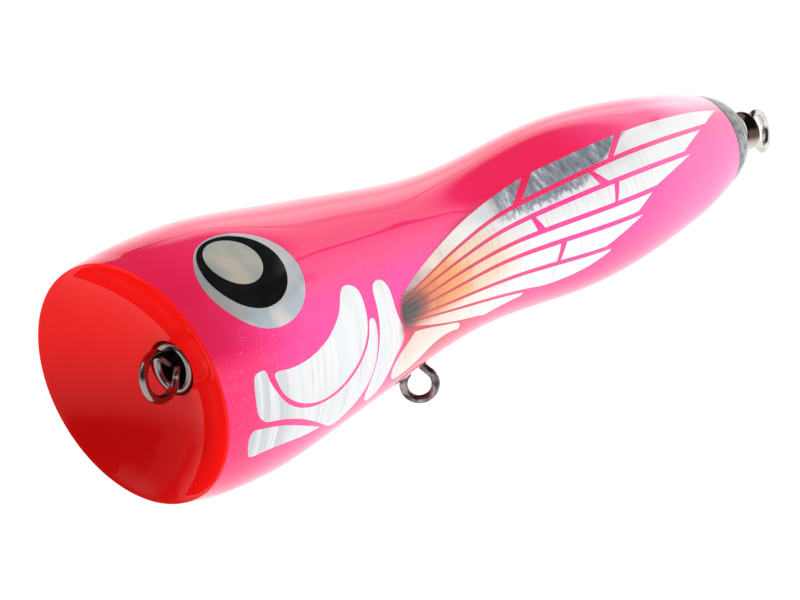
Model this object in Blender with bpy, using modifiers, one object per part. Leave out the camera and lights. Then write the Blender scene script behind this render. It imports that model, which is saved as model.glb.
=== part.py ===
"""Big topwater popper: turned wooden body, through-wire, belly swivel, foils and eyes.

Units are metres and +Z is the lure's back. +X runs from the nose to the tail along the
turned body's axis. The origin is on that axis, in the eye of the nose loop. Stations along
the body are given in millimetres from the plane of the cup's rim, and `at()` turns them
into metres.
"""
import math

import bmesh
import bpy
from mathutils import Matrix, Vector

MM = 0.001
GAP = 0.3 * MM                  # clearance left between touching pieces

# ---- driving dimensions, in mm ----
RIM_TO_ORIGIN = 6.4             # the nose eye sits this far behind the rim plane
BODY_STATIONS = (               # distance from the rim, radius
    (0.0, 24.0), (5.0, 24.75), (10.0, 25.2), (15.0, 25.35), (20.0, 25.3), (30.0, 24.35),
    (40.0, 22.8), (60.0, 19.6), (80.0, 16.75), (90.0, 16.2), (100.0, 16.45), (120.0, 17.6),
    (140.0, 16.3), (150.0, 14.8), (160.0, 12.75), (166.0, 10.95), (169.0, 9.95), (172.0, 8.5),
    (174.0, 7.0), (175.4, 5.4), (176.2, 4.2))
CAP_START = 166.3               # the wooden body ends here and the tail cap begins
CAP_END = 176.2
CUP_DEPTH = 10.9
CUP_RADIUS = 23.0               # mouth of the cup, inside the rounded lip
FACE_TILT = math.radians(-6.2)  # upper lip leans forward
TILT_BLEND = 9.0                # the lean fades out this far behind the rim
WIRE_R = 0.88
SWIVEL_X = 74.2                 # belly hanger
SWIVEL_WIRE_R = 0.88
TURN_STEPS = 48


def at(station):
    """Millimetres behind the rim to metres along X."""
    return (station - RIM_TO_ORIGIN) * MM


def radius_at(station):
    """Body radius in mm at a station: a cubic through BODY_STATIONS."""
    pts = BODY_STATIONS
    last = len(pts) - 1
    i = 0
    while i < last - 1 and station > pts[i + 1][0]:
        i += 1
    slopes = []
    for k in (i, i + 1):
        a, b = pts[max(k - 1, 0)], pts[min(k + 1, last)]
        slopes.append((b[1] - a[1]) / (b[0] - a[0]))
    span = pts[i + 1][0] - pts[i][0]
    t = (station - pts[i][0]) / span
    h00 = 2 * t ** 3 - 3 * t ** 2 + 1
    h10 = t ** 3 - 2 * t ** 2 + t
    h01 = 3 * t ** 2 - 2 * t ** 3
    h11 = t ** 3 - t ** 2
    return h00 * pts[i][1] + h10 * span * slopes[0] + h01 * pts[i + 1][1] + h11 * span * slopes[1]


def lean(station, height):
    """Forward lean, in mm, of a point of the outer skin at a height above the axis."""
    t = min(max(station / TILT_BLEND, 0.0), 1.0)
    return height * math.tan(FACE_TILT) * (1 - t * t * (3 - 2 * t))


def skin_point(station, degrees, lift=0.0, side=-1):
    """Point on the body. Degrees run from the flank (0) to the back (90); side -1 is -Y."""
    r = radius_at(station) + lift
    y = side * r * math.cos(math.radians(degrees))
    z = r * math.sin(math.radians(degrees))
    return Vector((at(station + lean(station, z)), y * MM, z * MM))


# ---- scene, collections, materials ----
for stale in list(bpy.data.objects):
    bpy.data.objects.remove(stale, do_unlink=True)

lure = bpy.data.collections.new("topwater_popper")
cutters = bpy.data.collections.new("cutters")
for group in (lure, cutters):
    bpy.context.scene.collection.children.link(group)
cutters.hide_render = True


def material(name, colour, roughness=0.3, metallic=0.0):
    mat = bpy.data.materials.new(name)
    mat.use_nodes = True
    shader = mat.node_tree.nodes["Principled BSDF"]
    shader.inputs["Base Color"].default_value = (*colour, 1.0)
    shader.inputs["Roughness"].default_value = roughness
    shader.inputs["Metallic"].default_value = metallic
    return mat


PINK_LACQUER = material("pink_lacquer", (0.95, 0.05, 0.30), 0.08)
TAIL_GREY = material("tail_grey", (0.10, 0.10, 0.11), 0.15)
STEEL = material("stainless_wire", (0.62, 0.60, 0.58), 0.18, 1.0)
GUNMETAL = material("gunmetal_swivel", (0.30, 0.27, 0.26), 0.2, 1.0)
LEAD = material("lead_weight", (0.28, 0.28, 0.30), 0.5, 1.0)
PLUG = material("epoxy_plug", (0.85, 0.78, 0.62), 0.5)
PEARL = material("pearl_foil", (0.88, 0.88, 0.86), 0.15)
EYE = material("pearl_eye", (0.10, 0.10, 0.10), 0.1)


def add(name, mesh, mat, group=lure, smooth=True):
    obj = bpy.data.objects.new(name, mesh)
    group.objects.link(obj)
    mesh.materials.clear()
    if mat:
        mesh.materials.append(mat)
    for face in mesh.polygons:
        face.use_smooth = smooth
    if group is cutters:
        obj.hide_render = True
        obj.display_type = "WIRE"
    return obj


def bake(obj):
    """Replace an object's data by its evaluated mesh and drop the modifiers."""
    bpy.context.view_layer.update()
    evaluated = obj.evaluated_get(bpy.context.evaluated_depsgraph_get())
    mesh = bpy.data.meshes.new_from_object(evaluated)
    group = obj.users_collection[0]
    name = obj.name
    mats = list(mesh.materials)
    bpy.data.objects.remove(obj, do_unlink=True)
    return add(name, mesh, mats[0] if mats else None, group)


# ---- builders ----
def turned(name, outline, mat, closed=False, group=lure, steps=TURN_STEPS, axis="X", centre=(0, 0, 0)):
    """Turn an outline of (along, radius) in metres, given from the far end down its outer side."""
    mesh = bpy.data.meshes.new(name)
    if axis == "X":
        verts = [(along, r, 0.0) for along, r in outline]
    else:
        verts = [(r, 0.0, along) for along, r in outline]
    edges = [(i, i + 1) for i in range(len(verts) - 1)]
    if closed:
        edges.append((len(verts) - 1, 0))
    mesh.from_pydata(verts, edges, [])
    obj = add(name, mesh, mat, group)
    screw = obj.modifiers.new("turn", "SCREW")
    screw.axis = axis
    screw.steps = steps
    screw.render_steps = steps
    screw.use_merge_vertices = True
    screw.merge_threshold = 0.00001
    obj = bake(obj)
    obj.data.transform(Matrix.Translation(Vector(centre)))
    return obj


def rod(name, start, end, radius, group=cutters, mat=None, steps=32):
    """Plain round bar between two points."""
    start, end = Vector(start), Vector(end)
    along = end - start
    bm = bmesh.new()
    place = Matrix.Translation((start + end) / 2) @ along.to_track_quat("Z", "Y").to_matrix().to_4x4()
    bmesh.ops.create_cone(bm, cap_ends=True, segments=steps, radius1=radius, radius2=radius,
                          depth=along.length, matrix=place)
    mesh = bpy.data.meshes.new(name)
    bm.to_mesh(mesh)
    bm.free()
    return add(name, mesh, mat, group)


def cut(obj, *tools):
    for tool in tools:
        boolean = obj.modifiers.new("cut_" + tool.name, "BOOLEAN")
        boolean.operation = "DIFFERENCE"
        boolean.solver = "EXACT"
        boolean.object = tool


def wire(name, points, radius, mat, swell=None):
    """Round wire along points in metres; swell gives a radius factor for single points."""
    curve = bpy.data.curves.new(name, "CURVE")
    curve.dimensions = "3D"
    curve.bevel_depth = radius
    curve.bevel_resolution = 2
    curve.use_fill_caps = True
    spline = curve.splines.new("POLY")
    spline.points.add(len(points) - 1)
    for i, p in enumerate(points):
        spline.points[i].co = (*p, 1.0)
        if swell and i in swell:
            spline.points[i].radius = swell[i]
    obj = bpy.data.objects.new(name, curve)
    lure.objects.link(obj)
    bpy.context.view_layer.update()
    evaluated = obj.evaluated_get(bpy.context.evaluated_depsgraph_get())
    mesh = bpy.data.meshes.new_from_object(evaluated)
    bpy.data.objects.remove(obj, do_unlink=True)
    bm = bmesh.new()
    bm.from_mesh(mesh)
    bmesh.ops.remove_doubles(bm, verts=bm.verts, dist=0.000001)
    bmesh.ops.recalc_face_normals(bm, faces=bm.faces)
    bm.to_mesh(mesh)
    bm.free()
    return add(name, mesh, mat)


def arc(centre, radius, start, end, steps):
    """Points on a circle in a (u, v) plane, angles in degrees."""
    out = []
    for i in range(steps + 1):
        a = math.radians(start + (end - start) * i / steps)
        out.append((centre[0] + radius * math.cos(a), centre[1] + radius * math.sin(a)))
    return out


def outline_curve(points, steps=4):
    """Closed outline through (x, y, corner) points, round except at corners."""
    out = []
    n = len(points)
    for i in range(n):
        p0, p1, p2, p3 = (points[(i + k) % n] for k in (-1, 0, 1, 2))
        if len(p1) > 2:
            p0 = p1
        if len(p2) > 2:
            p3 = p2
        for s in range(steps):
            t = s / steps
            out.append(tuple(
                0.5 * (2 * p1[c] + (p2[c] - p0[c]) * t
                       + (2 * p0[c] - 5 * p1[c] + 4 * p2[c] - p3[c]) * t ** 2
                       + (3 * p1[c] - p0[c] - 3 * p2[c] + p3[c]) * t ** 3)
                for c in (0, 1)))
            if len(p1) > 2 and len(p2) > 2:
                break
    return out


def foil(name, outline, side, mat, under=0.10, over=0.30, pitch=(4.5, 8.0)):
    """Thin sheet that follows the body. The outline is in mm behind the rim and degrees."""
    bm = bmesh.new()
    bm.faces.new([bm.verts.new((x, a, 0.0)) for x, a in outline])
    for axis in (0, 1):
        values = [p[axis] for p in outline]
        line = math.ceil(min(values) / pitch[axis]) * pitch[axis]
        while line < max(values):
            where, normal = [0.0, 0.0, 0.0], [0.0, 0.0, 0.0]
            where[axis] = line
            normal[axis] = 1.0
            bmesh.ops.bisect_plane(bm, geom=bm.verts[:] + bm.edges[:] + bm.faces[:], dist=0.02,
                                   plane_co=where, plane_no=normal)
            line += pitch[axis]
    bmesh.ops.remove_doubles(bm, verts=bm.verts, dist=0.05)
    bmesh.ops.triangulate(bm, faces=bm.faces)
    lower = list(bm.verts)
    grown = bmesh.ops.extrude_face_region(bm, geom=bm.faces[:])
    upper = [g for g in grown["geom"] if isinstance(g, bmesh.types.BMVert)]
    for verts, lift in ((lower, under), (upper, over)):
        for v in verts:
            v.co = skin_point(v.co.x, v.co.y, lift, side)
    bmesh.ops.recalc_face_normals(bm, faces=bm.faces)
    if bm.calc_volume(signed=True) < 0:
        bmesh.ops.reverse_faces(bm, faces=bm.faces)
    mesh = bpy.data.meshes.new(name)
    bm.to_mesh(mesh)
    bm.free()
    return add(name, mesh, mat)


# ---- turned body with its cup, bore and pockets ----
def body_outline():
    """From the tail face's centre, forward along the skin, round the lip and into the cup."""
    out = [(CAP_START - 0.15, 0.0)]
    station = CAP_START - 0.15
    while station > 1.0:
        out.append((station, radius_at(station)))
        station -= 2.5 if station > 150 or station < 12 else 5.0
    out.append((0.6, radius_at(0.6)))
    out.append((-0.1, 23.8))
    out.append((-0.3, 23.45))
    sphere = (CUP_RADIUS ** 2 + CUP_DEPTH ** 2) / (2 * CUP_DEPTH)
    for r in (23.0, 22.3, 21.0, 19.2, 17.0, 14.0, 10.5, 6.0):
        out.append((CUP_DEPTH - sphere + math.sqrt(sphere ** 2 - r ** 2), r))
    out.append((CUP_DEPTH, 0.0))
    return [(at(s), r * MM) for s, r in out]


body = turned("body_blank", body_outline(), PINK_LACQUER)
for vert in body.data.vertices:
    station = vert.co.x / MM + RIM_TO_ORIGIN
    height = vert.co.z / MM
    inside = station < CUP_DEPTH + 1 and math.hypot(vert.co.y, vert.co.z) / MM < radius_at(station) - 0.5
    shift = height * math.tan(FACE_TILT) if inside else lean(station, height)
    vert.co.x += shift * MM

GROMMET_FACE = 10.2
cut(body,
    rod("shank_bore", (at(5), 0, 0), (at(170), 0, 0), 1.3 * MM, steps=24),
    rod("grommet_seat", (at(5), 0, 0), (at(12.2), 0, 0), 5.5 * MM, steps=40),
    rod("grommet_pocket", (at(5), 0, 0), (at(19.0), 0, 0), 4.1 * MM, steps=40),
    rod("belly_pocket", (at(SWIVEL_X), 0, -20 * MM), (at(SWIVEL_X), 0, 3.6 * MM), 4.3 * MM, steps=40))

# ---- weights and their plugs, let in from the belly ----
for label, station, radius, deep in (("belly_weight", 104.0, 5.2, 12.2), ("tail_weight", 136.0, 4.6, 11.6)):
    skin = radius_at(station) - radius ** 2 / (2 * radius_at(station))
    cut(body, rod(label + "_hole", (at(station), 0, -30 * MM), (at(station), 0, -2.6 * MM),
                  radius * MM + GAP, steps=36))
    rod(label, (at(station), 0, -deep * MM), (at(station), 0, -3.0 * MM), radius * MM, lure, LEAD, 36)
    rod(label + "_plug", (at(station), 0, -(skin - 0.5) * MM), (at(station), 0, -deep * MM - GAP),
        radius * MM, lure, PLUG, 36)

# ---- tail cap ----
cap_outline = [(CAP_END, 1.3)]
for cap_station in (CAP_END, 175.4, 174.2, 172.8, 171.0, 169.0, CAP_START + 0.15):
    cap_outline.append((cap_station, radius_at(cap_station)))
cap_outline.append((CAP_START + 0.15, 1.3))
turned("tail_cap", [(at(s), r * MM) for s, r in cap_outline], TAIL_GREY, closed=True)


# ---- flared nose grommet, tail washer and tail ferrule ----
def ring_outline(points, station=0.0):
    return [(at(station + s), r * MM) for s, r in points]


turned("nose_grommet", ring_outline(
    ((8.6, 3.3), (8.6, 3.8), (1.9, 3.8), (1.7, 4.5), (1.25, 5.0), (0.65, 5.1), (0.15, 4.8),
     (0.0, 4.3), (0.15, 3.8), (0.7, 3.4), (1.5, 3.3)), GROMMET_FACE), STEEL, closed=True, steps=32)
turned("tail_washer", ring_outline(
    ((2.3, 1.3), (2.25, 2.9), (1.9, 3.5), (1.3, 3.75), (0.6, 3.7), (0.1, 3.2), (0.0, 1.3)),
    CAP_END + 0.3), STEEL, closed=True, steps=32)
FERRULE_DROP = 0.9 * MM         # it hangs low on the wire
turned("tail_ferrule", ring_outline(
    ((0.9, 2.6), (1.5, 3.0), (2.2, 3.55), (2.45, 3.85), (2.35, 4.1), (2.1, 4.2), (1.4, 4.1),
     (0.75, 3.7), (0.3, 3.25), (0.0, 3.05), (0.0, 2.5)), CAP_END + 2.95), STEEL, closed=True, steps=32,
    centre=(0, 0, -FERRULE_DROP))

# ---- through-wire: nose loop, shank, tail loop; each loop is one turn of a helix ----
NOSE_LOOP = (6.4, -0.4, 4.2, -8)     # station, height, centre-line radius, turn in degrees
TAIL_LOOP = (187.3, -2.5, 3.85, 22)
LOOP_STEP = 2 * WIRE_R + 0.3         # sideways offset of one turn


def loop_points(loop, forward):
    """One loop from the shank, over the top, back to a short tag. forward is -1 at the nose."""
    station, height, r, turn = loop
    flat = [(-r - 3.2, 0.0), (-r - 1.4, 0.15)] + arc((0.0, height), r, 140, -170, 28)
    flat += [(-r - 0.75, height + 0.2), (-r - 2.6, -0.1)]
    run = len(flat) - 1
    points = []
    for i, (u, v) in enumerate(flat):
        t = min(max((i - 1) / (run - 3), 0.0), 1.0)
        sideways = (0.45 - t) * LOOP_STEP if i > 0 else 0.0
        sideways += max(0.0, u + 0.6 * r) * math.tan(math.radians(turn))
        points.append(Vector((at(station + forward * u), sideways * MM, v * MM)))
    return points


nose_turn = loop_points(NOSE_LOOP, -1)
tail_turn = loop_points(TAIL_LOOP, 1)
through_points = list(reversed(nose_turn)) + tail_turn
wire("through_wire", through_points, WIRE_R * MM, STEEL)

# ---- belly swivel: upper eye on the wire, barrel, hook eye ----
EYE_CENTRE = -0.45
BARREL_TOP, BARREL_END = -5.6, -16.2
HOOK_CENTRE, HOOK_R = -23.1, 3.15
HOOK_TURN = math.radians(135)   # the hook eye faces forward and left at rest


def swivel_eye(name, centre, r, neck, head, up, spin):
    """Headed stem on the swivel's axis that opens into a round eye. up is +1 or -1."""
    stem = [(0.0, head), (0.0, head + 0.9 * up), (0.0, head + 1.0 * up), (0.0, neck)]
    circle = arc((0.0, centre), r, -52 * up, 228 * up, 24) if up > 0 else arc((0.0, centre), r, 52, -228, 24)
    tag = [(-(2 * SWIVEL_WIRE_R + 0.35), neck + 0.35 * up)]
    points = []
    for u, v in stem + circle + tag:
        points.append(Vector((at(SWIVEL_X) + u * math.sin(spin) * MM, u * math.cos(spin) * MM, v * MM)))
    return wire(name, points, SWIVEL_WIRE_R * MM, GUNMETAL, {0: 2.0, 1: 2.0})


swivel_eye("swivel_upper_eye", EYE_CENTRE, 2.4, -4.9, BARREL_TOP - 2.6, 1, 0.0)
swivel_eye("swivel_hook_eye", HOOK_CENTRE, HOOK_R, -17.8, BARREL_END + 2.6, -1, HOOK_TURN)
barrel = [(0.0, 1.15), (0.0, 1.6), (0.8, 2.25), (2.2, 2.75), (8.4, 2.75), (9.8, 2.25), (10.6, 1.6),
          (10.6, 1.15), (9.4, 1.15), (9.0, 2.1), (1.6, 2.1), (1.2, 1.15)]
turned("swivel_barrel", [((BARREL_TOP - s) * MM, r * MM) for s, r in barrel], GUNMETAL, closed=True,
       steps=28, axis="Z", centre=(at(SWIVEL_X), 0, 0))

# ---- eyes and foil sheets, the same on both flanks; points are (station, degrees, corner) ----
EYE_OUTLINE = ((17.5, 69.5), (25, 60), (28.8, 44), (26, 28), (17.8, 18.5), (10, 27), (6.3, 42), (9, 60))
FOILS = {
    "cheek_foil": ((12.3, 1.2), (18, 0.8), (25, 3.5), (31, 10), (34.3, 19), (37.2, 24), (40, 20.5),
                   (40.5, 10), (39.3, 0), (37.3, -7.5), (34, -14.5), (26.5, -20.2), (19, -15),
                   (14.5, -7.5)),
    "jaw_foil": ((9.2, 4.6), (10.8, 0), (12.8, -7.5), (16.6, -15), (21, -20), (26.5, -22.4), (32, -20),
                 (36, -15), (38.9, -7.5), (40.4, 0), (41.6, 5.4), (43, 1), (42.4, -12), (40, -30),
                 (36, -40), (31.5, -42.3), (28, -37), (23, -28.5), (17, -22.5), (9.8, -18.7), (7, -13),
                 (7, -3)),
    "throat_foil": ((6.2, -21), (12, -22), (18.5, -27), (23.5, -32), (26.5, -36.6, 1), (19, -35),
                    (12.5, -34.6), (7.8, -35.2), (5.6, -29)),
    "gill_foil": ((46.8, 20.8), (49, 17), (49.5, 5), (51.6, -10), (49.5, -22), (47.5, -33), (45, -42),
                  (42.3, -42), (41.2, -33), (43, -16), (44.4, 5), (44.7, 17)),
    "pelvic_foil": ((54.5, -15.4), (50.8, -21), (49.4, -30), (51, -39.3), (56, -39.8), (61, -34.5),
                    (66.5, -31.5), (72, -35.8, 1), (71, -29), (64.5, -22), (58.5, -16.5)),
    "fin_foil": ((51.2, 0), (53, 9), (60, 17), (70, 29), (80, 38.5), (90, 45), (100, 48), (132, 49.8),
                 (163.5, 48, 1), (157, 33, 1), (153.5, 31.5, 1), (146, 18, 1), (147, 16, 1),
                 (131.5, 4.2, 1), (125.5, -7.0, 1), (127, -8.5, 1), (115.8, -20, 1), (117.3, -24.5, 1),
                 (110, -32.5), (101, -34.6), (93, -33, 1), (92.5, -35.5, 1), (82, -37, 1), (70, -26), (60, -17),
                 (53, -9)),
}
for side_name, side in (("left", -1), ("right", 1)):
    foil("eye_" + side_name, outline_curve(EYE_OUTLINE), side, EYE)
    for foil_name, points in FOILS.items():
        foil(foil_name + "_" + side_name, outline_curve(points), side, PEARL)
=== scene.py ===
"""Looks of the topwater popper: lacquered body, pearl foils, eyes, wire and swivel.

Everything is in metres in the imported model's frame: +X nose to tail along the turned axis,
+Z the back, the origin in the eye of the nose loop. Stations are millimetres behind the
cup's rim plane and degrees run round the body from the flank (0) to the back (90).
"""

import math

import bmesh
import bpy
import numpy as np
from mathutils import Matrix, Vector


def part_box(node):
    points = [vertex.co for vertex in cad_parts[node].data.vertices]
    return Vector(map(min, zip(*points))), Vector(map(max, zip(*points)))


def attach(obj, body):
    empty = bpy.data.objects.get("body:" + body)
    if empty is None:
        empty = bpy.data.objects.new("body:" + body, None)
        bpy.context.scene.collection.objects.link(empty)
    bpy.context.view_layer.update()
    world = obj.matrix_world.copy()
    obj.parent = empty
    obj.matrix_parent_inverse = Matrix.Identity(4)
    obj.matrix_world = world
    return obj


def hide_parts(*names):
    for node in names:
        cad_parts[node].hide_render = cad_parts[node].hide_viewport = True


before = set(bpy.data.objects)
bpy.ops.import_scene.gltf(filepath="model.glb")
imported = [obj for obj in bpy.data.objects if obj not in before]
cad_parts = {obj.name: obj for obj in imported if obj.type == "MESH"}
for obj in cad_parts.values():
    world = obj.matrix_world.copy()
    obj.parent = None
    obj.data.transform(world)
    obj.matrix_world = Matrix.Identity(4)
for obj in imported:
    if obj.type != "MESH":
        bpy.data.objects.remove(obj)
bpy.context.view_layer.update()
MM = 0.001

# ---- measures shared with the CAD ----
GROMMET_FACE = 10.2
RIM_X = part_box("nose_grommet")[0].x - GROMMET_FACE * MM
CAP_END = 176.2
CAP_START = 166.3
BODY_STATIONS = (
    (0.0, 24.0), (5.0, 24.75), (10.0, 25.2), (15.0, 25.35), (20.0, 25.3), (30.0, 24.35),
    (40.0, 22.8), (60.0, 19.6), (80.0, 16.75), (90.0, 16.2), (100.0, 16.45), (120.0, 17.6),
    (140.0, 16.3), (150.0, 14.8), (160.0, 12.75), (166.0, 10.95), (169.0, 9.95), (172.0, 8.5),
    (174.0, 7.0), (175.4, 5.4), (176.2, 4.2))
CUP_DEPTH, CUP_RADIUS = 10.9, 23.0
FACE_TILT = math.radians(-6.2)
TILT_BLEND = 9.0
WIRE_R = 0.88
SWIVEL_X = 74.2
SWIVEL_WIRE_R = 0.85
BODY_STEPS = 192
SEAM = 0.02                  # half the joint between the body and its tail cap
MERGE = 0.0000001            # points closer than this, in metres, are one


class Spline:
    """Natural cubic through (x, y) points, with its slope."""

    def __init__(self, points):
        self.x = np.array([p[0] for p in points], float)
        self.y = np.array([p[1] for p in points], float)
        n = len(points)
        h = np.diff(self.x)
        system = np.eye(n)
        right = np.zeros(n)
        for i in range(1, n - 1):
            system[i, i - 1:i + 2] = h[i - 1], 2 * (h[i - 1] + h[i]), h[i]
            right[i] = 6 * ((self.y[i + 1] - self.y[i]) / h[i] - (self.y[i] - self.y[i - 1]) / h[i - 1])
        self.m = np.linalg.solve(system, right)

    def __call__(self, x, slope=False):
        i = int(np.clip(np.searchsorted(self.x, x) - 1, 0, len(self.x) - 2))
        h = self.x[i + 1] - self.x[i]
        a, b = (self.x[i + 1] - x) / h, (x - self.x[i]) / h
        y0, y1, m0, m1 = self.y[i], self.y[i + 1], self.m[i], self.m[i + 1]
        if slope:
            return (y1 - y0) / h - (3 * a * a - 1) / 6 * h * m0 + (3 * b * b - 1) / 6 * h * m1
        return a * y0 + b * y1 + ((a ** 3 - a) * m0 + (b ** 3 - b) * m1) * h * h / 6


radius_at = Spline(BODY_STATIONS)


def at(station):
    return RIM_X + station * MM


def lean(station, height):
    """How far the leaning face carries a point along the axis, in mm."""
    t = min(max(station / TILT_BLEND, 0.0), 1.0)
    return height * math.tan(FACE_TILT) * (1 - t * t * (3 - 2 * t))


def skin_point(station, degrees, lift=0.0, side=-1):
    """Point lift mm above the turned skin, on the left (-1) or right (1) side."""
    r = radius_at(station) + lift
    a = math.radians(degrees)
    z = r * math.sin(a)
    return Vector((at(station + lean(station, z)), side * r * math.cos(a) * MM, z * MM))


# ---- node-graph helper ----
class Graph:
    """Small builder for one material's nodes."""

    def __init__(self, name, world=None):
        self.material = world or bpy.data.materials.new(name)
        self.material.use_nodes = True
        self.tree = self.material.node_tree
        self.shader = self.tree.nodes["Background" if world else "Principled BSDF"]
        self.coords = self.tree.nodes.new("ShaderNodeTexCoord").outputs["Generated" if world else "Object"]

    def put(self, socket, value):
        if isinstance(value, bpy.types.NodeSocket):
            self.tree.links.new(value, socket)
        elif isinstance(value, tuple) and len(value) == 3 and socket.type == "RGBA":
            socket.default_value = (*value, 1.0)
        else:
            socket.default_value = value

    def set(self, **values):
        for key, value in values.items():
            self.put(self.shader.inputs[key.replace("_", " ")], value)
        return self

    def node(self, kind, **settings):
        n = self.tree.nodes.new("ShaderNode" + kind)
        for key, value in settings.items():
            setattr(n, key, value)
        return n

    def math(self, operation, a, b=0.0, c=0.0, clamp=False):
        n = self.node("Math", operation=operation, use_clamp=clamp)
        for socket, value in zip(n.inputs, (a, b, c)):
            self.put(socket, value)
        return n.outputs[0]

    def mix(self, factor, a, b, blend="MIX"):
        """Mix of two colours; a Mix node's colour sockets are its inputs 6 and 7 and output 2."""
        n = self.node("Mix", data_type="RGBA", blend_type=blend)
        for index, value in ((0, factor), (6, a), (7, b)):
            self.put(n.inputs[index], value)
        return n.outputs[2]

    def product(self, *factors):
        result = factors[0]
        for factor in factors[1:]:
            result = self.math("MULTIPLY", result, factor)
        return result

    def ramp(self, factor, stops, ease="EASE"):
        n = self.node("ValToRGB")
        n.color_ramp.interpolation = ease
        while len(n.color_ramp.elements) < len(stops):
            n.color_ramp.elements.new(0.5)
        for element, (place, value) in zip(n.color_ramp.elements, stops):
            element.position = place
            element.color = (*value, 1.0) if isinstance(value, tuple) else (value, value, value, 1.0)
        self.put(n.inputs[0], factor)
        return n.outputs[0]

    def band(self, value, low, high):
        """0 below low, 1 above high, smooth between; low may be the larger."""
        n = self.node("MapRange", interpolation_type="SMOOTHSTEP")
        for key, v in (("From Min", low), ("From Max", high), ("To Min", 0.0), ("To Max", 1.0)):
            n.inputs[key].default_value = v
        if low > high:
            n.inputs["From Min"].default_value, n.inputs["From Max"].default_value = high, low
            n.inputs["To Min"].default_value, n.inputs["To Max"].default_value = 1.0, 0.0
        self.put(n.inputs["Value"], value)
        return n.outputs[0]

    def noise(self, scale, detail=2.0, stretch=(1, 1, 1), roughness=0.5):
        mapping = self.node("Mapping")
        mapping.inputs["Scale"].default_value = stretch
        self.put(mapping.inputs["Vector"], self.coords)
        n = self.node("TexNoise")
        n.inputs["Scale"].default_value = scale
        n.inputs["Detail"].default_value = detail
        n.inputs["Roughness"].default_value = roughness
        self.tree.links.new(mapping.outputs[0], n.inputs["Vector"])
        return n.outputs["Fac"]

    def bump(self, height, strength, distance):
        n = self.node("Bump")
        n.inputs["Strength"].default_value = strength
        n.inputs["Distance"].default_value = distance
        self.put(n.inputs["Height"], height)
        self.put(self.shader.inputs["Normal"], n.outputs[0])
        return self

    def body_angle(self):
        """(station in mm, degrees above the flank), the same on both sides."""
        split = self.node("SeparateXYZ")
        self.put(split.inputs[0], self.coords)
        station = self.math("MULTIPLY", self.math("SUBTRACT", split.outputs["X"], RIM_X), 1000.0)
        flank = self.math("ABSOLUTE", split.outputs["Y"])
        degrees = self.math("MULTIPLY", self.math("ARCTAN2", split.outputs["Z"], flank), 180 / math.pi)
        return station, degrees


FIN_ROOT = (53.0, -1.5)          # station and degrees where the fin's rays meet


def root_distance(g, station, degrees):
    """Distance in mm from the fin's root, squeezed so that it spreads along the rays."""
    dx = g.math("SUBTRACT", station, FIN_ROOT[0])
    dz = g.math("MULTIPLY", g.math("SUBTRACT", degrees, FIN_ROOT[1]), 0.75)
    behind = g.math("MULTIPLY", g.math("MINIMUM", dx, 0.0), 2.5)
    dx = g.math("ADD", g.math("MAXIMUM", dx, 0.0), behind)
    reach = g.math("SQRT", g.math("ADD", g.math("MULTIPLY", dx, dx), g.math("MULTIPLY", dz, dz)))
    feather = g.math("MULTIPLY_ADD", g.noise(900, 3, (0.12, 1.0, 1.0)), 0.36, 0.82)
    return g.math("MULTIPLY", reach, feather)


# ---- materials ----
def pink_lacquer():
    g = Graph("pink_lacquer")
    station, degrees = g.body_angle()
    pink = g.ramp(g.band(degrees, -80, 90), (
        (0.0, (0.93, 0.09, 0.24)), (0.14, (0.93, 0.045, 0.22)), (0.43, (0.93, 0.037, 0.25)),
        (0.60, (0.89, 0.045, 0.28)), (0.77, (0.89, 0.052, 0.20)), (0.85, (0.77, 0.022, 0.125)),
        (1.0, (0.74, 0.03, 0.12))))
    # painted shade: the top of the head near the rim darkened to a deep red, where less light falls on it
    head = g.product(g.band(station, 23, 0), g.band(degrees, -16, 20), 0.9)
    pink = g.mix(head, pink, (0.60, 0.011, 0.055))
    # painted highlight: the pink paler towards the tail
    pink = g.mix(g.product(g.band(station, 108, 168), 0.7), pink, (0.93, 0.18, 0.40))
    jaw = g.product(g.band(station, 20, 1), g.band(degrees, 22, -2), 0.85)
    pink = g.mix(jaw, pink, (0.88, 0.004, 0.10))
    # painted highlight: a pale pink patch high on the flank near the tail
    painted_tail_highlight = g.product(g.band(station, 141, 157), g.band(degrees, 38, 63), 0.85)
    pink = g.mix(painted_tail_highlight, pink, (0.97, 0.52, 0.64))
    # painted shade: a deeper, darker red on the upper waist, standing in for a dark reflection in the coat
    painted_waist_shade = g.product(g.band(station, 74, 90), g.band(station, 126, 112), g.band(degrees, 18, 40), 0.8)
    pink = g.mix(painted_waist_shade, pink, (0.72, 0.014, 0.075))
    # flakes, which thin out over the back and the dark top of the head
    low_head = g.band(g.math("MULTIPLY_ADD", station, 1.6, g.math("MULTIPLY", degrees, -1.0)), -18, -6)
    cells = g.node("TexVoronoi")
    cells.inputs["Scale"].default_value = 2100.0
    g.put(cells.inputs["Vector"], g.coords)
    flakes = g.product(g.band(cells.outputs["Distance"], 0.28, 0.12), g.band(g.noise(500, 1), 0.42, 0.60),
                       g.band(degrees, 62, 25), low_head, 0.34)
    pink = g.mix(flakes, pink, (0.95, 0.42, 0.85))
    # brown lines between the fin's rays, and the black of its root
    reach = root_distance(g, station, degrees)
    below_edge = g.band(g.math("MULTIPLY_ADD", station, -1.15, degrees), -51.0, -54.0)
    lines = g.product(g.band(reach, 55, 20), g.band(station, 50, 54), below_edge, 0.85)
    pink = g.mix(lines, pink, (0.40, 0.04, 0.04))
    pink = g.mix(g.product(g.band(reach, 9.5, 2.5), 0.95), pink, (0.025, 0.022, 0.024))
    g.set(Base_Color=pink, Roughness=0.5, Specular_IOR_Level=0.0, Coat_Weight=1.0, Coat_Roughness=0.01)
    return g.material


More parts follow.
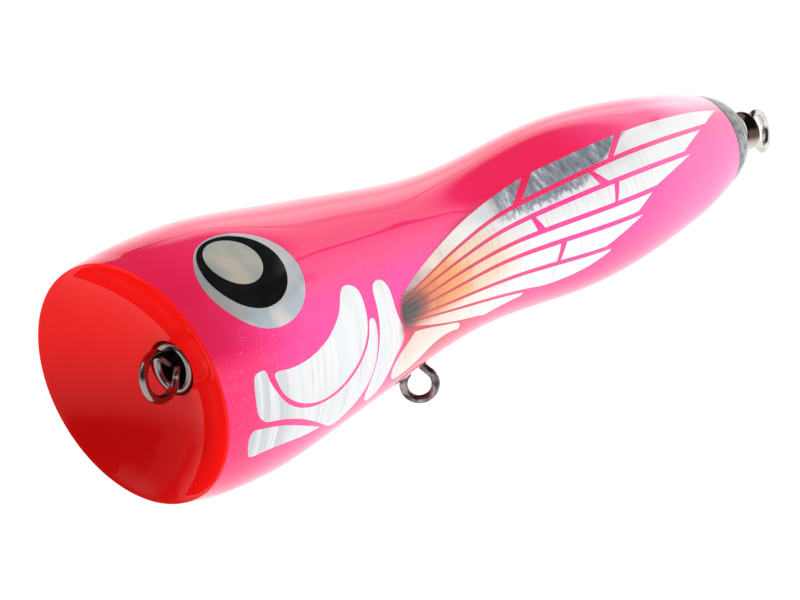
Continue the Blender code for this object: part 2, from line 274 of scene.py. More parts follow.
def red_lacquer():
    g = Graph("red_lacquer")
    mottled = g.noise(120, 3)
    split = g.node("SeparateXYZ")
    g.put(split.inputs[0], g.coords)
    shade = g.product(g.band(split.outputs["Z"], 0.010, -0.016),
                      g.band(split.outputs["Y"], -0.020, 0.004), 0.85)
    red = g.ramp(mottled, ((0.3, (0.84, 0.007, 0.006)), (0.7, (0.87, 0.008, 0.006))))
    g.set(Base_Color=g.mix(shade, red, (0.44, 0.0035, 0.004)),
          Roughness=0.5, Specular_IOR_Level=0.0, Coat_Weight=0.45, Coat_Roughness=0.02, Coat_IOR=1.4)
    return g.material


def bare_wood():
    g = Graph("bored_wood")
    grain = g.noise(300, 3, (0.1, 1, 1))
    g.set(Base_Color=g.ramp(grain, ((0.3, (0.10, 0.045, 0.03)), (0.7, (0.17, 0.08, 0.05)))), Roughness=0.8)
    return g.material


def tail_lacquer():
    g = Graph("tail_lacquer")
    station, _ = g.body_angle()
    cloud = g.noise(420, 5, roughness=0.65)
    grey = g.ramp(cloud, ((0.38, (0.03, 0.032, 0.036)), (0.62, (0.24, 0.245, 0.255))))
    grey = g.mix(g.product(g.band(station, 167.8, 166.5), 0.75), grey, (0.012, 0.012, 0.014))
    grey = g.mix(g.product(g.band(station, 171.5, 174.0), 0.6), grey, (0.035, 0.036, 0.040))
    g.set(Base_Color=grey, Roughness=0.4, Specular_IOR_Level=0.2, Coat_Weight=0.6, Coat_Roughness=0.05)
    return g.material


def pearl_foil():
    g = Graph("pearl_foil")
    station, degrees = g.body_angle()
    streak = g.noise(1300, 4, (1.0, 0.05, 0.05), 0.6)
    broad = g.noise(110, 3, (1.0, 0.25, 0.25))
    white = g.ramp(streak, (
        (0.25, (0.58, 0.59, 0.60)), (0.52, (0.72, 0.72, 0.72)), (0.8, (0.80, 0.80, 0.79))))
    shade = g.product(g.band(degrees, 20, -25), g.band(station, 62, 46), 0.62)
    white = g.mix(shade, white, g.ramp(streak, (
        (0.3, (0.40, 0.42, 0.44)), (0.55, (0.53, 0.54, 0.55)), (0.8, (0.62, 0.62, 0.62)))))
    # painted light: the foils whiter towards the back, where they face the light
    white = g.mix(g.product(g.band(degrees, 18, 42), 0.6), white, (0.90, 0.90, 0.89))
    white = g.mix(g.product(g.band(broad, 0.54, 0.68), 0.38), white, (0.50, 0.64, 0.72))
    grey_zone = g.product(g.band(station, 19.5, 13.0),
                          g.band(g.noise(420, 2, (1.0, 0.03, 0.03)), 0.48, 0.62), 0.42)
    white = g.mix(grey_zone, white, (0.25, 0.29, 0.32))
    # painted reflection: crinkled grey-blue with light glints and a ragged lower edge, on the upper rays
    # only, where the foil would mirror a dark part of the room
    crinkle = g.noise(560, 5, (1.0, 0.35, 0.35), 0.7)
    rear = g.math("MULTIPLY_ADD", degrees, -0.8, station)
    ragged = g.math("MULTIPLY_ADD", g.math("SUBTRACT", crinkle, 0.5), 30.0, degrees)
    painted_reflection_zone = g.product(g.band(station, 85, 92), g.band(rear, 93.5, 90.5),
                            g.band(ragged, 23.0, 26.5), 0.9)
    painted_reflection_tones = g.ramp(crinkle, (
        (0.36, (0.08, 0.09, 0.125)), (0.53, (0.22, 0.245, 0.30)), (0.66, (0.62, 0.66, 0.74))))
    white = g.mix(painted_reflection_zone, white, painted_reflection_tones)
    # the fin's tint: black root, then orange; the top ray is cream instead
    reach = g.math("DIVIDE", root_distance(g, station, degrees), 45.0)
    tint = g.ramp(reach, (
        (0.0, (0.010, 0.008, 0.008)), (0.06, (0.015, 0.012, 0.010)), (0.13, (0.24, 0.06, 0.02)),
        (0.22, (0.80, 0.22, 0.04)), (0.38, (1.0, 0.36, 0.09)), (0.60, (1.0, 0.70, 0.50)),
        (0.95, (1.0, 1.0, 1.0))))
    top_ray = g.band(g.math("MULTIPLY_ADD", station, -0.68, degrees), -30.8, -29.2)
    cream = g.ramp(reach, (
        (0.0, (0.012, 0.010, 0.010)), (0.10, (0.08, 0.07, 0.07)), (0.24, (0.52, 0.45, 0.42)),
        (0.42, (0.92, 0.83, 0.76)), (0.80, (1.0, 1.0, 1.0))))
    tint = g.mix(g.product(top_ray, 0.85), tint, cream)
    tint = g.mix(g.product(g.band(degrees, -9, -16), 0.65), tint, (1.0, 0.97, 0.95))
    tint = g.mix(g.band(station, 49.5, 52.0), (1.0, 1.0, 1.0), tint)
    g.set(Base_Color=g.mix(1.0, white, tint, "MULTIPLY"), Metallic=0.22, Roughness=0.34,
          Coat_Weight=1.0, Coat_Roughness=0.03)
    g.bump(streak, 0.14, 0.00005)
    return g.material


def pearl_eye(name, low, high):
    g = Graph(name)
    swirl = g.noise(190, 3, (1.0, 0.6, 0.6))
    station, _ = g.body_angle()
    pearl = g.ramp(swirl, ((0.35, low), (0.65, high)))
    # painted shade: the pearl darker towards its front edge, nearest the cup
    pearl = g.mix(g.product(g.band(station, 13.5, 7.5), 0.6), pearl, (0.24, 0.22, 0.22))
    g.set(Base_Color=pearl, Metallic=0.2, Roughness=0.3, Coat_Weight=1.0, Coat_Roughness=0.03)
    return g.material


def black_iris():
    g = Graph("black_iris")
    g.set(Base_Color=g.ramp(g.noise(400, 2), ((0.3, (0.003, 0.003, 0.003)), (0.7, (0.006, 0.006, 0.006)))),
          Roughness=0.5, Specular_IOR_Level=0.0, Coat_Weight=1.0, Coat_Roughness=0.03)
    return g.material


def metal(name, colour, roughness, wear, depth=0.8, nose=None, painted_top_reflection=None):
    """Worn metal. depth darkens the mottling; nose is painted shade that darkens the front end, down in
    the cup; the last colour is a painted reflection laid over the top.
    """
    g = Graph(name)
    scratch = g.noise(1500, 4, (1.0, 0.2, 0.2), 0.6)
    tone = g.noise(420, 3, roughness=0.6)
    dark = tuple(c * depth for c in colour)
    finish = g.ramp(tone, ((0.38, dark), (0.62, colour)))
    if nose:
        # painted shade: the front end, sitting down in the cup, darker
        station, _ = g.body_angle()
        finish = g.mix(g.band(station, 60, 40), finish, nose)
    if painted_top_reflection:
        # painted reflection: the top turns dark brown, where the metal would mirror something dark; the
        # lower part keeps its bright colour
        split = g.node("SeparateXYZ")
        g.put(split.inputs[0], g.coords)
        edge = g.math("MULTIPLY_ADD", tone, 0.0012, split.outputs["Z"])
        finish = g.mix(g.band(edge, -0.0032, -0.0006), finish, painted_top_reflection)
    g.set(Base_Color=finish, Metallic=1.0, Roughness=g.math("MULTIPLY_ADD", scratch, wear, roughness))
    g.bump(scratch, 0.08, 0.00002)
    return g.material


PINK, RED, WOOD, GREY = pink_lacquer(), red_lacquer(), bare_wood(), tail_lacquer()
PEARL = pearl_foil()
EYE_PEARL = pearl_eye("eye_pearl", (0.36, 0.42, 0.46), (0.58, 0.55, 0.53))
PUPIL_PEARL = pearl_eye("pupil_pearl", (0.36, 0.39, 0.36), (0.52, 0.46, 0.38))
IRIS = black_iris()
# painted shade: the nose colour darkens the wire's front end and the grommet, down in the cup
STEEL = metal("stainless_steel", (0.74, 0.71, 0.66), 0.10, 0.10, nose=(0.30, 0.27, 0.26))
GUNMETAL = metal("gunmetal", (0.36, 0.31, 0.295), 0.14, 0.12, depth=0.16)
# painted reflection: this ferrule metal is dark brown over its top
FERRULE_PAINTED_REFLECTION = metal("ferrule_painted_reflection", (0.72, 0.68, 0.62), 0.12, 0.10, painted_top_reflection=(0.10, 0.065, 0.045))
LEAD = metal("lead", (0.25, 0.25, 0.27), 0.40, 0.20)


# ---- mesh builders ----
def piece(name, mesh, materials, body, cad_nodes):
    obj = bpy.data.objects.new(name, mesh)
    bpy.context.scene.collection.objects.link(obj)
    for mat in materials:
        mesh.materials.append(mat)
    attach(obj, body)
    if cad_nodes:
        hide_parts(*cad_nodes)
    return obj


def rounded(points, steps=6, closed=True):
    """Curve through points given as (u, v) or (u, v, 1); a third value marks a corner."""
    out = []
    n = len(points)
    for i in range(n if closed else n - 1):
        p0, p1, p2, p3 = (points[(i + k) % n] if closed else points[min(max(i + k, 0), n - 1)]
                          for k in (-1, 0, 1, 2))
        if len(p1) > 2:
            p0 = p1
        if len(p2) > 2:
            p3 = p2
        straight = len(p1) > 2 and len(p2) > 2
        for s in range(1 if straight else steps):
            t = s / steps
            out.append(tuple(
                0.5 * (2 * p1[c] + (p2[c] - p0[c]) * t
                       + (2 * p0[c] - 5 * p1[c] + 4 * p2[c] - p3[c]) * t ** 2
                       + (3 * p1[c] - p0[c] - 3 * p2[c] + p3[c]) * t ** 3)
                for c in (0, 1)))
    if not closed:
        out.append(tuple(points[-1][:2]))
    return out


def turned_mesh(name, outline, steps, axis="X", centre=(0.0, 0.0, 0.0), closed=True, tags=None):
    """Turn a closed outline of (along, radius) in metres. tags gives a material index per edge."""
    bm = bmesh.new()
    rings = []
    for along, r in outline:
        ring = []
        for k in range(steps):
            a = 2 * math.pi * k / steps
            if axis == "X":
                p = (along, r * math.cos(a), r * math.sin(a))
            else:
                p = (r * math.cos(a), r * math.sin(a), along)
            ring.append(bm.verts.new(Vector(p) + Vector(centre)))
        rings.append(ring)
    count = len(rings)
    for i in range(count if closed else count - 1):
        a, b = rings[i], rings[(i + 1) % count]
        for k in range(steps):
            face = bm.faces.new((a[k], a[(k + 1) % steps], b[(k + 1) % steps], b[k]))
            face.smooth = True
            if tags:
                face.material_index = tags[i]
    bmesh.ops.remove_doubles(bm, verts=bm.verts, dist=MERGE)
    bmesh.ops.recalc_face_normals(bm, faces=bm.faces)
    if bm.calc_volume(signed=True) < 0:
        bmesh.ops.reverse_faces(bm, faces=bm.faces)
    mesh = bpy.data.meshes.new(name)
    bm.to_mesh(mesh)
    bm.free()
    return mesh


def sharpen(mesh, degrees=38):
    mesh.set_sharp_from_angle(angle=math.radians(degrees))


def turned_piece(name, points, station, mat, body, nodes, steps=96, centre=(0, 0, 0)):
    outline = [(at(station + s), r * MM) for s, r in rounded(points, 6)]
    mesh = turned_mesh(name, outline, steps, centre=centre)
    sharpen(mesh)
    return piece(name, mesh, [mat], body, nodes)


def tube(name, points, radius, mat, body, nodes, swell=None, smooth=5, sides=5):
    """Round wire through points, smoothed, with flat caps on its ends."""
    path, sizes = [], []
    n = len(points)
    gaps = [(points[i + 1] - points[i]).length for i in range(n - 1)]
    tangents = [(points[min(i + 1, n - 1)] - points[max(i - 1, 0)])
                / (gaps[min(i, n - 2)] + (gaps[i - 1] if 0 < i < n - 1 else 0.0)) for i in range(n)]
    for i in range(n - 1):
        a, b, m0, m1 = points[i], points[i + 1], tangents[i] * gaps[i], tangents[i + 1] * gaps[i]
        here, there = (swell.get(k, 1.0) if swell else 1.0 for k in (i, i + 1))
        for s in range(smooth):
            t = s / smooth
            path.append(a * (2 * t ** 3 - 3 * t * t + 1) + m0 * (t ** 3 - 2 * t * t + t)
                        + b * (3 * t * t - 2 * t ** 3) + m1 * (t ** 3 - t * t))
            sizes.append(here + (there - here) * t)
    path.append(points[-1])
    sizes.append(swell.get(n - 1, 1.0) if swell else 1.0)
    curve = bpy.data.curves.new(name, "CURVE")
    curve.dimensions = "3D"
    curve.bevel_depth = radius
    curve.bevel_resolution = sides
    curve.use_fill_caps = True
    spline = curve.splines.new("POLY")
    spline.points.add(len(path) - 1)
    for point, where, size in zip(spline.points, path, sizes):
        point.co = (*where, 1.0)
        point.radius = size
    obj = bpy.data.objects.new(name + "_curve", curve)
    bpy.context.scene.collection.objects.link(obj)
    bpy.context.view_layer.update()
    mesh = bpy.data.meshes.new_from_object(obj.evaluated_get(bpy.context.evaluated_depsgraph_get()))
    mesh.name = name
    bpy.data.objects.remove(obj, do_unlink=True)
    mesh.materials.clear()
    bm = bmesh.new()
    bm.from_mesh(mesh)
    bmesh.ops.remove_doubles(bm, verts=bm.verts, dist=0.000001)
    bmesh.ops.recalc_face_normals(bm, faces=bm.faces)
    for face in bm.faces:
        face.smooth = True
    bm.to_mesh(mesh)
    bm.free()
    sharpen(mesh)
    return piece(name, mesh, [mat], body, nodes)


def arc(centre, radius, start, end, steps):
    return [(centre[0] + radius * math.cos(math.radians(start + (end - start) * i / steps)),
             centre[1] + radius * math.sin(math.radians(start + (end - start) * i / steps)))
            for i in range(steps + 1)]


# ---- lacquered body ----
def body_rows():
    """(station, radius, material index) from the tail face forward, round the lip, into the bore."""
    rows = []
    station = CAP_START - SEAM
    while station > 1.0:
        rows.append((station, radius_at(station), 0))
        station -= 1.5 if station > 12 else 0.9
    lip = [(0.9, radius_at(0.9)), (0.30, 24.0), (0.0, 23.94), (-0.16, 23.82), (-0.20, 23.68),
           (-0.10, 23.55)]
    rows += [(s, r, 1 if i else 0) for i, (s, r) in enumerate(lip)]
    mouth = CUP_RADIUS + 0.4
    sphere = (mouth ** 2 + CUP_DEPTH ** 2) / (2 * CUP_DEPTH)
    for i in range(26):
        r = mouth - (mouth - 5.5) * i / 25
        rows.append((CUP_DEPTH - sphere + math.sqrt(sphere ** 2 - r * r), r, 1))
    rows += [(12.2, 5.5, 2), (12.2, 4.1, 2), (19.0, 4.1, 2), (19.0, 1.3, 2),
             (CAP_START - SEAM, 1.3, 2)]
    return rows


def lacquered_body():
    rows = body_rows()
    mesh = turned_mesh("lacquered_body", [(at(s), r * MM) for s, r, _ in rows], BODY_STEPS,
                       tags=[tag for _, _, tag in rows])
    for vert in mesh.vertices:
        station = (vert.co.x - RIM_X) / MM
        height = vert.co.z / MM
        radius = math.hypot(vert.co.y, vert.co.z) / MM
        inside = station < CUP_DEPTH + 1 and radius < radius_at(max(station, 0.0)) - 0.35
        shift = height * math.tan(FACE_TILT) if inside else lean(station, height)
        vert.co.x += shift * MM
    for mat in (PINK, RED, WOOD):
        mesh.materials.append(mat)
    body = bpy.data.objects.new("body_for_cut", mesh)
    drill = bpy.data.objects.new("belly_drill", turned_mesh(
        "belly_drill", [(-0.022, 0.0), (-0.022, 0.0043), (0.0036, 0.0043), (0.0036, 0.0)], 64,
        axis="Z", centre=(at(SWIVEL_X), 0, 0), closed=False))
    drill.data.materials.append(WOOD)
    for obj in (body, drill):
        bpy.context.scene.collection.objects.link(obj)
    cutter = body.modifiers.new("belly_pocket", "BOOLEAN")
    cutter.operation, cutter.solver, cutter.object = "DIFFERENCE", "EXACT", drill
    bpy.context.view_layer.update()
    mesh = bpy.data.meshes.new_from_object(body.evaluated_get(bpy.context.evaluated_depsgraph_get()))
    mesh.name = "lacquered_body"
    for obj in (body, drill):
        bpy.data.objects.remove(obj, do_unlink=True)
    sharpen(mesh)
    return piece("lacquered_body", mesh, [], "lure", ["body_blank"])


body_piece = lacquered_body()

cap_points = [(CAP_END, 1.3, 1), (CAP_END, radius_at(CAP_END) - 0.3)]
for cap_station in (176.1, 175.4, 174.6, 173.4, 172.0, 170.6, 169.0, 167.6):
    cap_points.append((cap_station, radius_at(cap_station)))
cap_points += [(CAP_START + SEAM, radius_at(CAP_START + SEAM), 1), (CAP_START + SEAM, 1.3, 1)]
turned_piece("tail_cap_shell", cap_points, 0.0, GREY, "lure", ["tail_cap"], BODY_STEPS)

# ---- grommet, washer, ferrule ----
turned_piece("grommet_shell", (
    (8.6, 3.3, 1), (8.6, 3.8, 1), (1.9, 3.8), (1.7, 4.5), (1.25, 5.0), (0.65, 5.1), (0.15, 4.8),
    (0.0, 4.3), (0.15, 3.8), (0.7, 3.4), (1.5, 3.3)), GROMMET_FACE, STEEL, "lure",
    ["nose_grommet"])
turned_piece("dished_washer", (
    (2.3, 1.3, 1), (2.25, 2.9), (1.9, 3.5), (1.3, 3.75), (0.6, 3.7), (0.1, 3.2), (0.0, 1.3, 1)),
    CAP_END + 0.3, STEEL, "lure", ["tail_washer"])
ferrule_low, ferrule_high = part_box("tail_ferrule")
turned_piece("flared_ferrule", (
    (0.0, 2.5, 1), (0.9, 2.6), (1.5, 3.0), (2.2, 3.55), (2.43, 3.85), (2.35, 4.1), (2.1, 4.2),
    (1.4, 4.1), (0.75, 3.7), (0.3, 3.25), (0.0, 3.05, 1)), (ferrule_low.x - RIM_X) / MM, FERRULE_PAINTED_REFLECTION,
    "lure", ["tail_ferrule"], centre=(0, 0, (ferrule_low.z + ferrule_high.z) / 2))

# ---- through-wire ----
NOSE_LOOP, TAIL_LOOP = (6.4, -0.4, 4.2, -8), (187.3, -2.5, 3.85, 22)
LOOP_STEP = 2 * WIRE_R + 0.3


def loop_points(loop, forward):
    """One loop from the shank, over the top, back to a short tag, as in the CAD."""
    station, height, r, turn = loop
    flat = [(-r - 3.2, 0.0), (-r - 1.4, 0.15)] + arc((0.0, height), r, 140, -170, 28)
    flat += [(-r - 0.75, height + 0.2), (-r - 2.6, -0.1)]
    run = len(flat) - 1
    points = []
    for i, (u, v) in enumerate(flat):
        t = min(max((i - 1) / (run - 3), 0.0), 1.0)
        sideways = (0.45 - t) * LOOP_STEP if i > 0 else 0.0
        sideways += max(0.0, u + 0.6 * r) * math.tan(math.radians(turn))
        points.append(Vector((at(station + forward * u), sideways * MM, v * MM)))
    return points


tube("through_wire_polished", list(reversed(loop_points(NOSE_LOOP, -1))) + loop_points(TAIL_LOOP, 1),
     WIRE_R * MM, STEEL, "lure", ["through_wire"])

# ---- belly swivel ----
BARREL_TOP, BARREL_END = -5.6, -16.2
HOOK_TURN = math.radians(135)


def swivel_eye(name, node, body, centre, r, neck, head, up, spin):
    """Stem with a round head inside the barrel, bent into a loop; heights in mm."""
    stem = [(0.0, head), (0.0, head + 0.9 * up), (0.0, head + 1.0 * up), (0.0, neck)]
    sweep = (-52, 228) if up > 0 else (52, -228)
    tag = [(-(2 * SWIVEL_WIRE_R + 0.35), neck + 0.35 * up)]
    flat = stem + arc((0.0, centre), r, *sweep, 24) + tag
    points = [Vector((at(SWIVEL_X) + u * math.sin(spin) * MM, u * math.cos(spin) * MM, v * MM))
              for u, v in flat]
    return tube(name, points, SWIVEL_WIRE_R * MM, GUNMETAL, body, [node],
                {0: 2.0, 1: 2.0})


swivel_eye("upper_eye_plated", "swivel_upper_eye", "swivel_hanger", -0.45, 2.4, -4.9,
           BARREL_TOP - 2.6, 1, 0.0)
swivel_eye("hook_eye_plated", "swivel_hook_eye", "hook_eye", -23.1, 3.15, -17.8,
           BARREL_END + 2.6, -1, HOOK_TURN)
barrel = rounded((
    (0.0, 1.15, 1), (0.0, 1.6), (0.8, 2.25), (2.2, 2.75), (8.4, 2.75), (9.8, 2.25), (10.6, 1.6),
    (10.6, 1.15, 1), (9.4, 1.15, 1), (9.0, 2.1, 1), (1.6, 2.1, 1), (1.2, 1.15, 1)))
barrel_mesh = turned_mesh("barrel_plated", [((BARREL_TOP - s) * MM, r * MM) for s, r in barrel], 64,
                          axis="Z", centre=(at(SWIVEL_X), 0, 0))
sharpen(barrel_mesh)
piece("barrel_plated", barrel_mesh, [GUNMETAL], "barrel", ["swivel_barrel"])


# ---- foils ----
def sheet_mesh(name, outline, side, under, over, pitch=(1.5, 3.0)):
    """Closed thin sheet on the skin inside an outline of (station, degrees)."""
    bm = bmesh.new()
    bm.faces.new([bm.verts.new((x, a, 0.0)) for x, a in outline])
    for axis in (0, 1):
        values = [p[axis] for p in outline]
        line = math.ceil(min(values) / pitch[axis]) * pitch[axis]
        while line < max(values):
            where, normal = [0.0, 0.0, 0.0], [0.0, 0.0, 0.0]
            where[axis], normal[axis] = line, 1.0
            bmesh.ops.bisect_plane(bm, geom=bm.verts[:] + bm.edges[:] + bm.faces[:], dist=0.01,
                                   plane_co=where, plane_no=normal)
            line += pitch[axis]
    bmesh.ops.remove_doubles(bm, verts=bm.verts, dist=0.02)
    bmesh.ops.triangulate(bm, faces=bm.faces)
    lower = list(bm.verts)
    grown = bmesh.ops.extrude_face_region(bm, geom=bm.faces[:])
    upper = [e for e in grown["geom"] if isinstance(e, bmesh.types.BMVert)]
    for verts, lift in ((lower, under), (upper, over)):
        for v in verts:
            v.co = skin_point(v.co.x, v.co.y, lift, side)
    bmesh.ops.recalc_face_normals(bm, faces=bm.faces)
    if bm.calc_volume(signed=True) < 0:
        bmesh.ops.reverse_faces(bm, faces=bm.faces)
    for face in bm.faces:
        face.smooth = True
    mesh = bpy.data.meshes.new(name)
    bm.to_mesh(mesh)
    bm.free()
    return mesh


def polish(mesh):
    """Give the outer skin of a body or foil mesh the turned body's exact normals."""
    normals = []
    for face in mesh.polygons:
        for index in face.vertices:
            co = mesh.vertices[index].co
            station = (co.x - RIM_X) / MM
            exact = None
            if 1.5 < station < CAP_START:
                radius = math.hypot(co.y, co.z)
                slope = radius_at(station, slope=True)
                exact = Vector((-slope, co.y / radius, co.z / radius)).normalized()
                if radius / MM < radius_at(station) - 0.4 or exact.dot(face.normal) < 0.9:
                    exact = None
            normals.append(exact or (0.0, 0.0, 0.0))
    mesh.normals_split_custom_set(normals)


polish(body_piece.data)


def ellipse(cx, cy, rx, ry, steps=72):
    turns = [2 * math.pi * k / steps for k in range(steps)]
    return [(cx + rx * math.cos(a), cy + ry * math.sin(a)) for a in turns]


FOILS = {
    "cheek": ((12.3, -0.5), (12.6, 1.2), (13.6, 1.4), (17, 0.5), (22, 1.4), (27, 4.8), (30.5, 9.5),
              (33, 14.5), (35, 21), (36.5, 23.7), (38.1, 23.9), (39.8, 21.8), (40.6, 18), (40.6, 10),
              (40.2, 4), (39.4, -2), (37.5, -9), (35, -14), (32, -17.9), (29, -19.9), (26.5, -20.5),
              (23.5, -20), (19.5, -17.4), (16, -13), (13.6, -7.5)),
    "jaw": ((7.5, 3), (8.5, 4.2), (9.8, 4.2), (10.4, 2.5), (10.8, -1), (12, -6), (14, -12), (16.5, -16.4),
            (19.5, -19.5), (23, -21.4), (26.5, -22), (30, -21.4), (33, -19.1), (36, -15), (38.5, -9),
            (40, -3), (40.7, 3), (41.3, 4.8), (42, 4.8), (42.6, 3), (42.8, -2), (42.6, -11), (41.7, -21),
            (40.4, -29), (38, -36), (35, -40.4), (32.5, -41.9), (30.5, -41), (28.5, -38), (26, -33.7),
            (23, -29.3), (19.5, -25), (15.5, -21.6), (12, -19.7), (9.6, -18.6), (7.8, -15), (7.1, -10),
            (7, -2)),
    "throat": ((6.4, -21.2), (7.6, -21), (12, -22.6), (17, -26), (22, -31), (25, -34.5), (26.4, -36.6, 1),
               (22, -36), (17, -34.9), (12, -34.5), (8, -35.2), (6.5, -34), (5.5, -28), (5.6, -23.6)),
    "gill": ((46.8, 20.8), (48.4, 19), (49.3, 14), (49.5, 4), (50.2, -2), (51.2, -8), (51.5, -13),
             (50.7, -17.7), (49, -23), (47.8, -30), (46.7, -37), (45.4, -41.2), (43.3, -42.8), (41.6, -40),
             (40.9, -35), (41.3, -28), (42.3, -19), (43.3, -8), (43.9, 2), (44.2, 10), (44.3, 15),
             (45.1, 19.4)),
    "pelvic": ((56, -14.8), (61.4, -18.6), (66.8, -23.6), (71, -28), (72.2, -31), (72.3, -34.8, 1),
               (69.8, -32.6), (66.8, -31.4), (63.7, -32.3), (61, -35), (57.5, -39.2), (53.7, -40.6),
               (51, -39.7), (49.5, -35), (49.2, -29.3), (50.6, -23.5), (53.2, -18.6), (54.8, -15.6)),
}
RIBS = [Spline(points) for points in (
    ((51.5, 6.5), (54.5, 10.7), (61, 18), (69, 25.7), (77, 33.3), (84.5, 39.4), (92, 44.6), (100, 48),
     (110, 48.7), (130, 49.6), (145, 50.2), (155, 49.6), (164, 47.2)),
    ((52, 5.6), (55, 7.6), (61.5, 11.5), (69, 16.9), (77, 22.4), (84.5, 27.3), (92, 30.6), (100, 32.2),
     (110, 33.2), (123, 34), (140, 34.2), (157, 33.5)),
    ((52, 3.2), (61.5, 7.3), (69, 10.5), (77, 14.1), (84.5, 17.4), (92, 19.4), (100, 20.2), (115, 20.4),
     (130, 19.8), (154, 17.6)),
    ((52, 1.2), (61.5, 2.3), (69, 4), (77, 5.7), (84.5, 7.1), (92, 7.7), (100, 7.3), (115, 6.1), (147, 4)),
    ((52, -1.8), (61.5, -2.4), (77, -2.5), (84.5, -2.2), (92, -2.7), (100, -3.7), (115, -5.6), (131, -7)),
    ((52, -4.4), (61.5, -7.7), (77, -12.7), (92, -16.8), (107.5, -20.6), (127, -22.6)),
    ((52, -6.4), (61.5, -11.4), (77, -21.4), (92, -31.7), (118, -50)),
    ((52, -8.4), (60, -16), (73, -29.3), (95, -52)))]
FIN_START = 52.3
# each ray's cells: (station on its upper rib, on its lower rib) at the front and at the tip
RAYS = (
    ((None, (99.8, 93.5)), ((102.9, 96.2), (128.2, 121.8)), ((130.6, 123.8), (163.7, 156.5))),
    ((None, (115.1, 116.5)), ((116.4, 119.1), (153.5, 144.8))),
    ((None, (96.2, 96.9)), ((97.5, 99.1), (120.2, 118.9)), ((121.8, 119.8), (146.5, 132.5))),
    ((None, (130.5, 125.2)),),
    ((None, (102.5, 101.4)), ((104.2, 102.5), (126.8, 115.6))),
    ((None, (117.2, 95.0)),),
    ((None, (93.0, 79.0)),))
TIP_CURVES = {
    5: ((117.0, -25.2), (115.2, -27.6), (111.4, -31.6), (106.8, -34.4), (102, -35.3), (98.3, -34.6)),
    6: ((92.6, -36.3), (87, -37.0), (81.4, -37.6))}


def gap_degrees(station):
    """Half the painted gap beside a rib, in degrees."""
    wide = 0.17 + 0.33 * min(max((station - 55) / 45, 0.0), 1.0)
    return math.degrees(wide / radius_at(station))


def ray_cell(ray, front, tip, steps=26):
    upper, lower = RIBS[ray], RIBS[ray + 1]
    start = front or (FIN_START, FIN_START)
    trim = 0.0 if ray == 0 else 1.0
    out = []
    for i in range(steps + 1):
        x = start[0] + (tip[0] - start[0]) * i / steps
        out.append((x, upper(x) - trim * gap_degrees(x)))
    out += list(TIP_CURVES.get(ray, ()))
    for i in range(steps + 1):
        x = tip[1] + (start[1] - tip[1]) * i / steps
        out.append((x, lower(x) + gap_degrees(x)))
    return out


SKIN_UNDER, FOIL_LIFT = -0.06, 0.02
for side_name, side in (("left", -1), ("right", 1)):
    for foil_name, points in FOILS.items():
        name = f"{foil_name}_foil_pearl_{side_name}"
        mesh = sheet_mesh(name, rounded(points, 5), side, SKIN_UNDER, FOIL_LIFT)
        polish(mesh)
        piece(name, mesh, [PEARL], "lure", [f"{foil_name}_foil_{side_name}"])
    cell_number = 0
    for ray, cells in enumerate(RAYS):
        for front, tip in cells:
            name = f"fin_cell_{cell_number:02d}_{side_name}"
            mesh = sheet_mesh(name, ray_cell(ray, front, tip), side, SKIN_UNDER, FOIL_LIFT)
            polish(mesh)
            piece(name, mesh, [PEARL], "lure", [f"fin_foil_{side_name}"])
            cell_number += 1
    for layer, (part_name, outline, mat) in enumerate((
            ("eye_pearl", ellipse(17.5, 44.0, 11.4, 25.6), EYE_PEARL),
            ("eye_iris", ellipse(16.8, 48.2, 9.05, 20.4), IRIS),
            ("eye_pupil", ellipse(16.1, 53.1, 5.8, 13.1), PUPIL_PEARL))):
        name = f"{part_name}_{side_name}"
        mesh = sheet_mesh(name, outline, side, SKIN_UNDER, FOIL_LIFT + 0.012 * layer)
        polish(mesh)
        piece(name, mesh, [mat], "lure", [f"eye_{side_name}"])

# ---- hidden pieces keep their CAD solids with a better finish ----
for node_name, mat in (("belly_weight", LEAD), ("tail_weight", LEAD), ("belly_weight_plug", WOOD),
                       ("tail_weight_plug", WOOD)):
    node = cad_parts[node_name]
    node.data.materials.clear()
    node.data.materials.append(mat)


# ---- floor, world, lights, camera ----
def aim(obj, target):
    obj.rotation_euler = (Vector(target) - obj.location).to_track_quat("-Z", "Y").to_euler()


def softbox(name, place, target, size, power, colour=(1, 1, 1)):
    light = bpy.data.lights.new(name, "AREA")
    light.shape = "RECTANGLE"
    light.size, light.size_y = size
    light.energy = power
    light.color = colour
    obj = bpy.data.objects.new(name, light)
    obj.location = place
    bpy.context.scene.collection.objects.link(obj)
    aim(obj, target)
    return obj


floor_mesh = bpy.data.meshes.new("pale_floor")
FLOOR_Z, FLOOR_HALF = -0.16, 6.0
corners = [(x * FLOOR_HALF, y * FLOOR_HALF, FLOOR_Z) for x, y in ((-1, -1), (1, -1), (1, 1), (-1, 1))]
floor_mesh.from_pydata(corners, [], [(0, 1, 2, 3)])
floor = bpy.data.objects.new("pale_floor", floor_mesh)
bpy.context.scene.collection.objects.link(floor)
floor_look = Graph("pale_floor")
floor_look.set(Base_Color=(0.12, 0.12, 0.12), Roughness=0.9, Emission_Color=(1.0, 1.0, 1.0),
               Emission_Strength=0.98)
floor_mesh.materials.append(floor_look.material)

world = bpy.data.worlds.new("studio")
bpy.context.scene.world = world
sky = Graph("studio", world)
split = sky.node("SeparateXYZ")
sky.put(split.inputs[0], sky.coords)
height = sky.math("MULTIPLY", sky.math("ARCSINE", split.outputs["Z"]), 180 / math.pi)
round_it = sky.math("MULTIPLY", sky.math("ARCTAN2", split.outputs["Y"], split.outputs["X"]), 180 / math.pi)


def fade(*edges):
    """Product of soft edges given as (degrees of elevation or azimuth, from, to)."""
    return sky.product(*[sky.band(*edge) for edge in edges])


def scaled(value, gain, base):
    """value * gain + base"""
    return sky.math("MULTIPLY_ADD", value, gain, base)


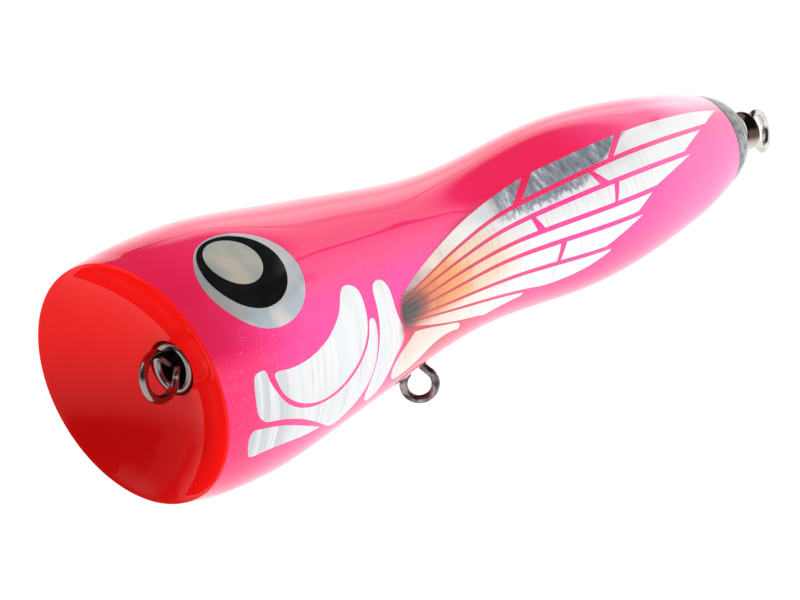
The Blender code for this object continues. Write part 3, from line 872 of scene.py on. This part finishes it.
# one big softbox up to about 30 degrees, whose top edge rises a little past azimuth -5
past = sky.math("MAXIMUM", sky.math("MINIMUM", sky.math("ADD", round_it, 5.0), 0.0), -6.0)
slanted = scaled(past, 0.45, height)
over_eye = fade((height, 22, 26), (round_it, -17, -24))
sweep = sky.product(
    fade((slanted, 29.8, 29.2), (round_it, -62, -36), (round_it, 118, 96)),
    sky.math("SUBTRACT", 1.0, over_eye),
    scaled(sky.band(height, 31, 20), 0.4, 0.7),
    scaled(fade((height, 20, 8), (round_it, 5, 30)), 0.2, 1.0))
# a second one above it leaves a thin dark line on the back; bridge and strip close it past azimuth 11
panel = fade((slanted, 30.6, 31.2), (height, 39, 32), (round_it, -28, -6), (round_it, 50, 40))
bridge = fade((height, 29.2, 29.8), (height, 31.1, 30.5), (round_it, 3, 11), (round_it, 23, 17))
strip = fade((height, 17, 24), (height, 32.5, 30.5), (round_it, 17, 23), (round_it, 48, 38))
ceiling = fade((height, 38, 55), (round_it, 50, 75))
side = fade((round_it, 118, 122), (round_it, 152, 148))
glow = scaled(sweep, 0.95, 0.06)
for part, strength in ((panel, 1.0), (bridge, 0.85), (strip, 0.75), (ceiling, 1.2), (side, 0.3)):
    glow = scaled(part, strength, glow)
behind = sky.band(sky.math("ABSOLUTE", round_it), 125, 150)
haze = sky.product(sky.band(height, 17, -3), scaled(behind, 0.25, 0.8))
sky.put(sky.shader.inputs["Strength"], sky.math("MAXIMUM", glow, haze))
sky.put(sky.shader.inputs["Color"], (1.0, 1.0, 1.0))

CENTRE = (0.07, 0.0, 0.0)
fill = softbox("flank_fill", (0.35, -0.80, 0.12), CENTRE, (0.5, 0.5), 6.5)
top = softbox("back_fill", (-0.1, 0.45, 0.75), CENTRE, (0.5, 0.5), 7.5)
nose = softbox("nose_fill", (-0.8, 0.1, 0.25), CENTRE, (0.4, 0.4), 2.0)
for lamp in (fill, top, nose):
    lamp.visible_glossy = False

CAMERA_TARGET = Vector((at(72.4), 0.0, -5.4 * MM))
CAMERA_DISTANCE = 0.9125
AZIMUTH, ELEVATION, ROLL = (math.radians(d) for d in (-45.09, 14.83, -8.8))
back = Vector((math.sin(AZIMUTH) * math.cos(ELEVATION), -math.cos(AZIMUTH) * math.cos(ELEVATION),
               math.sin(ELEVATION)))
right = Vector((math.cos(AZIMUTH), math.sin(AZIMUTH), 0.0))
up = back.cross(right)
view_right = right * math.cos(ROLL) + up * math.sin(ROLL)
view_up = up * math.cos(ROLL) - right * math.sin(ROLL)
camera_data = bpy.data.cameras.new("camera")
camera_data.sensor_width = 36.0
camera_data.lens = 211.0
camera_data.clip_start = 0.01
camera = bpy.data.objects.new("camera", camera_data)
camera.matrix_world = Matrix((
    (view_right.x, view_up.x, back.x, 0.0), (view_right.y, view_up.y, back.y, 0.0),
    (view_right.z, view_up.z, back.z, 0.0), (0.0, 0.0, 0.0, 1.0)))
camera.location = CAMERA_TARGET + back * CAMERA_DISTANCE
bpy.context.scene.collection.objects.link(camera)
bpy.context.scene.camera = camera
bpy.context.scene.view_settings.view_transform = "Standard"
